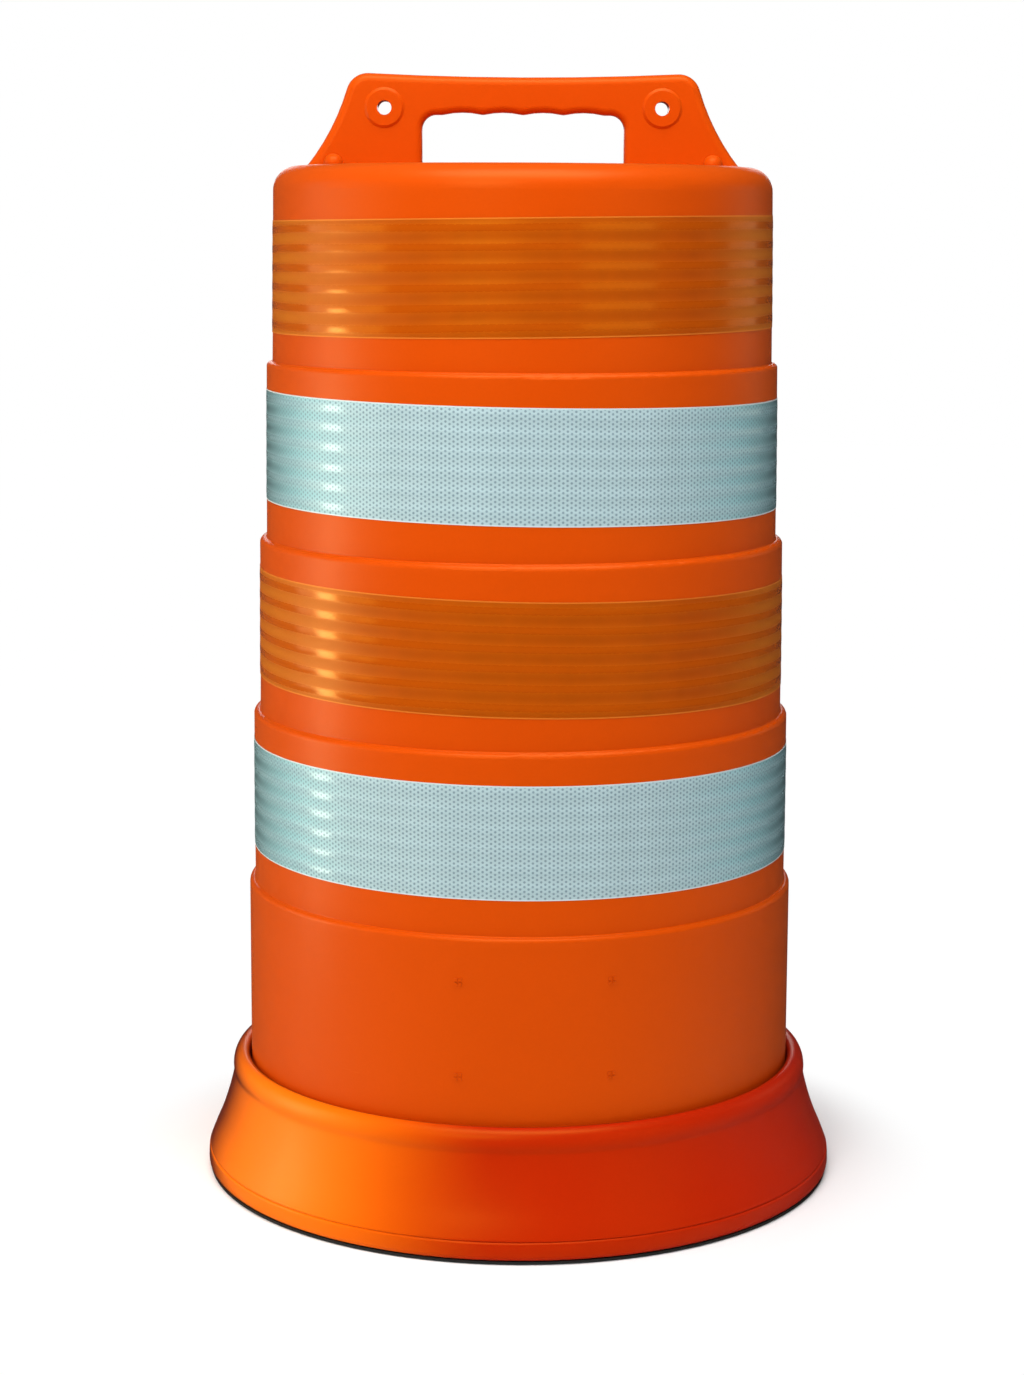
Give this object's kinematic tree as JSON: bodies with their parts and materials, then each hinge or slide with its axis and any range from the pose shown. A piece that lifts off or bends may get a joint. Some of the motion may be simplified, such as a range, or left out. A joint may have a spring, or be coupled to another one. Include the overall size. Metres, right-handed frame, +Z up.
{
  "type": "traffic drum",
  "caption": "Stepped orange traffic drum with a moulded carrying handle and reflective bands, held down by a flared ballast base that slips over its top.",
  "frame": {"origin": "centre of the drum's foot, on the ground", "axes": "+Z up along the drum's axis, X along the handle, -Y towards the front, where the label marks are"},
  "size_m": [0.6, 0.6, 1.0312],
  "materials": {
    "drum_plastic": "moulded polyethylene with a fine grain and a soft sheen",
    "orange_sheeting": "clear amber prismatic film with soft horizontal stripes",
    "white_sheeting": "silvery white prismatic film with a fine honeycomb",
    "base_plastic": "glossy moulded plastic, redder than the drum",
    "ballast_rubber": "recycled rubber, dull"
  },
  "bodies": {
    "drum": {"drum_shell": "drum_plastic", "sheeting_orange_upper": "orange_sheeting", "sheeting_white_upper": "white_sheeting", "sheeting_orange_lower": "orange_sheeting", "sheeting_white_lower": "white_sheeting"},
    "ballast_base": {"base_skirt": "base_plastic", "ballast_ring_lower": "ballast_rubber", "ballast_ring_upper": "ballast_rubber"}
  },
  "joints": [
    {"name": "base_lift", "type": "slide", "parent": "drum", "child": "ballast_base", "axis": [0, 0, 1], "range_m": [0, 1.06]}
  ]
}
